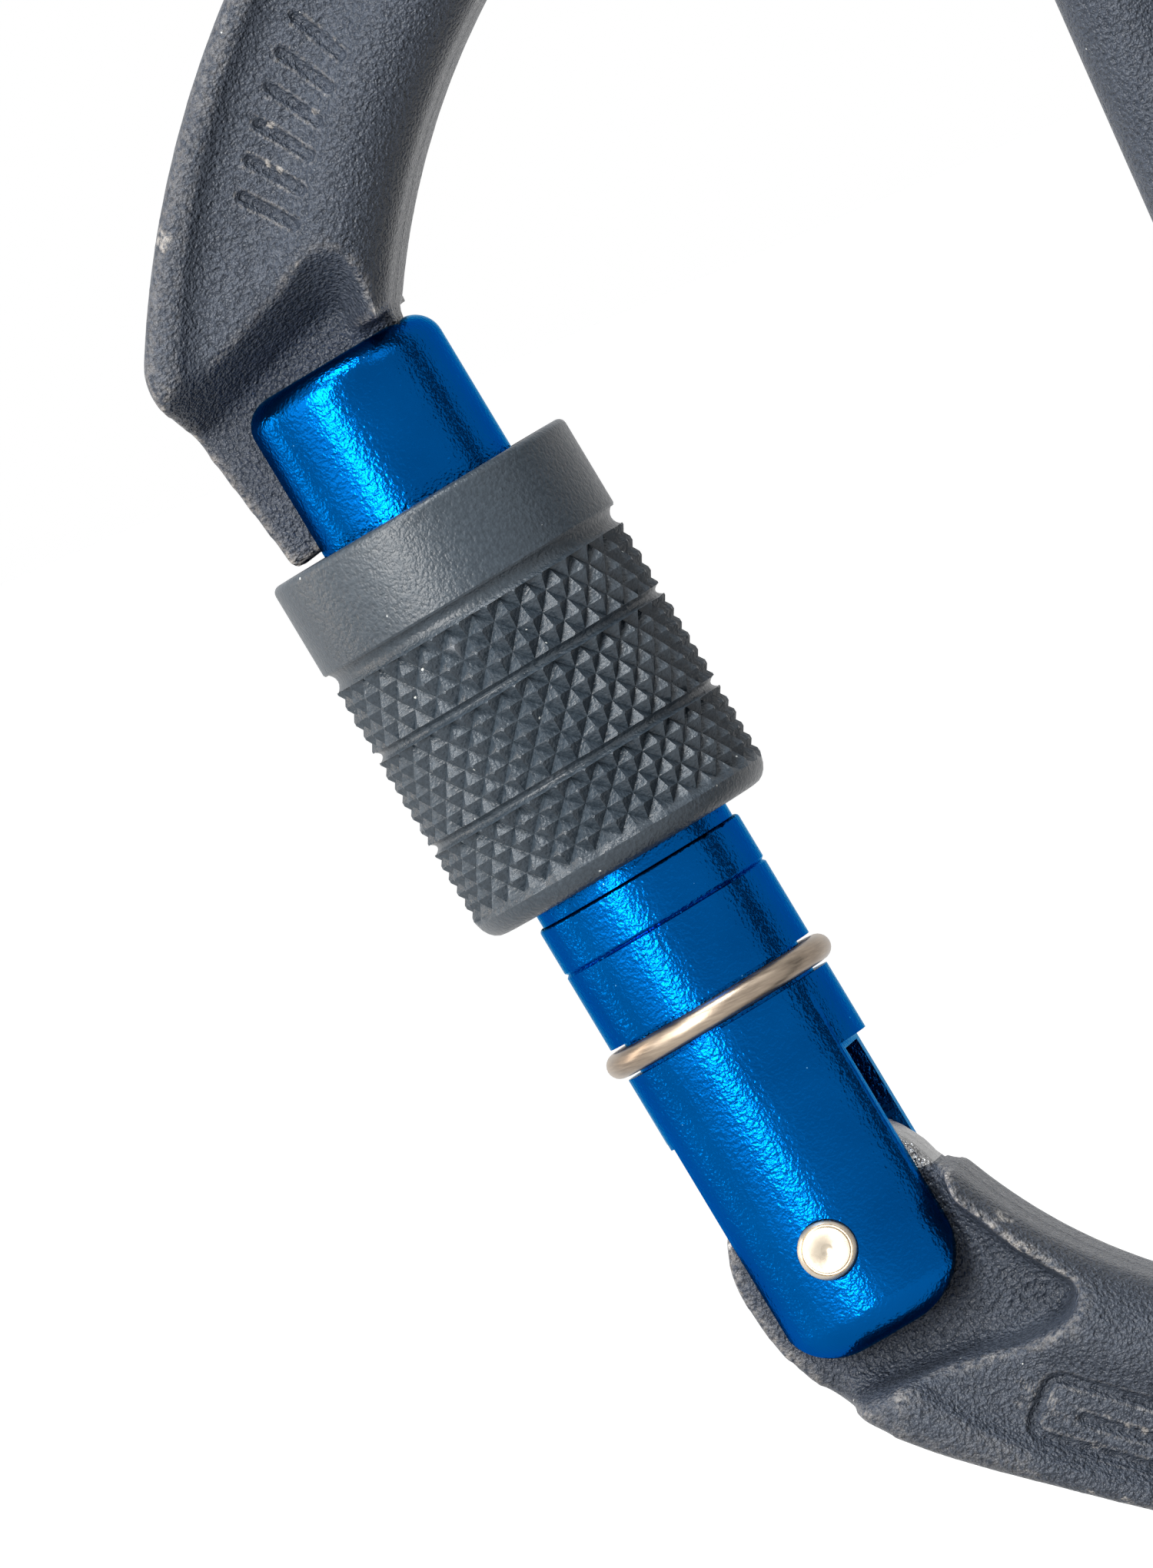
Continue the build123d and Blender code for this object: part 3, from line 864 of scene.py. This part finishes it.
# Name, azimuth and elevation in degrees, distance, width, height, brightness, colour
LIGHTS = (
    ("key_strip", -23, 16, 0.42, 0.12, 0.4, 20.0, (1.0, 0.985, 0.96)),
    ("left_panel", -52, 14, 0.5, 0.26, 0.4, 2.5, (1.0, 0.97, 0.93)),
    ("side_warm", -95, 12, 0.5, 0.1, 0.4, 7.0, (1.0, 0.86, 0.72)),
    ("overhead", -8, 68, 0.5, 0.2, 0.14, 22.0, (0.95, 0.98, 1.0)),
    ("right_fill", 62, 42, 0.6, 0.2, 0.3, 1.5, (0.95, 0.98, 1.0)),
)


def direction(azimuth, elevation):
    """Unit vector from the object to a place round it, in radians, 0 in front."""
    level = math.cos(elevation)
    return Vector((math.sin(azimuth) * level, -math.cos(azimuth) * level, math.sin(elevation)))


def add_camera():
    """Long lens, level with the gate and rolled so that the spine leans to the left."""
    data = bpy.data.cameras.new("camera")
    data.sensor_width = 24.0
    data.lens = data.sensor_width * CAMERA_DISTANCE / VIEW_HEIGHT
    data.clip_start = 0.05
    camera = placed("camera", data)
    towards = direction(CAMERA_AZIMUTH, CAMERA_HEIGHT)
    camera.location = AIM + towards * CAMERA_DISTANCE
    level = towards.to_track_quat("Z", "Y")
    camera.rotation_mode = "QUATERNION"
    camera.rotation_quaternion = level @ Matrix.Rotation(-CAMERA_ROLL, 3, "Z").to_quaternion()
    bpy.context.scene.camera = camera


def add_light(name, azimuth, elevation, distance, width, height, strength, colour):
    """Soft box that faces the gate, as bright from any distance as its strength says."""
    data = bpy.data.lights.new(name, "AREA")
    data.shape = "RECTANGLE"
    data.size = width
    data.size_y = height
    data.energy = strength * math.pi * width * height
    data.color = colour
    light = placed(name, data)
    towards = direction(math.radians(azimuth), math.radians(elevation))
    light.location = AIM + towards * distance
    light.rotation_mode = "QUATERNION"
    light.rotation_quaternion = towards.to_track_quat("Z", "Y")


def seen_directly(tree):
    """1 for camera rays and for what polished surfaces and glass show."""
    path = tree.nodes.new("ShaderNodeLightPath")
    shown = math_node(tree, "MAXIMUM", path.outputs["Is Camera Ray"], path.outputs["Is Glossy Ray"])
    return math_node(tree, "MAXIMUM", shown, path.outputs["Is Transmission Ray"])


def add_world():
    """White surroundings, which light the object less than they show."""
    world = bpy.data.worlds.new("studio")
    bpy.context.scene.world = world
    world.use_nodes = True
    tree = world.node_tree
    colour = mix_colour(tree, seen_directly(tree), WORLD_LIGHT, WORLD_SEEN)
    tree.links.new(colour, tree.nodes["Background"].inputs["Color"])


def add_floor():
    """Pale floor under the lowest point, lit up enough to pass into the background."""
    bm = bmesh.new()
    bmesh.ops.create_grid(bm, x_segments=1, y_segments=1, size=FLOOR_HALF)
    bmesh.ops.translate(bm, verts=bm.verts, vec=(0, 0, cad_box[0][2]))
    mesh = bpy.data.meshes.new("floor")
    bm.to_mesh(mesh)
    bm.free()
    material = bpy.data.materials.new("floor_paper")
    material.use_nodes = True
    tree = material.node_tree
    shader = tree.nodes["Principled BSDF"]
    shader.inputs["Base Color"].default_value = (0.2, 0.2, 0.2, 1)
    shader.inputs["Roughness"].default_value = 0.9
    shader.inputs["Emission Color"].default_value = (1, 1, 1, 1)
    glow = math_node(tree, "MULTIPLY", seen_directly(tree), FLOOR_GLOW)
    tree.links.new(glow, shader.inputs["Emission Strength"])
    mesh.materials.append(material)
    floor = placed("floor", mesh)


add_camera()
add_world()
add_floor()
for light in LIGHTS:
    add_light(*light)
bpy.context.scene.view_settings.view_transform = "Standard"
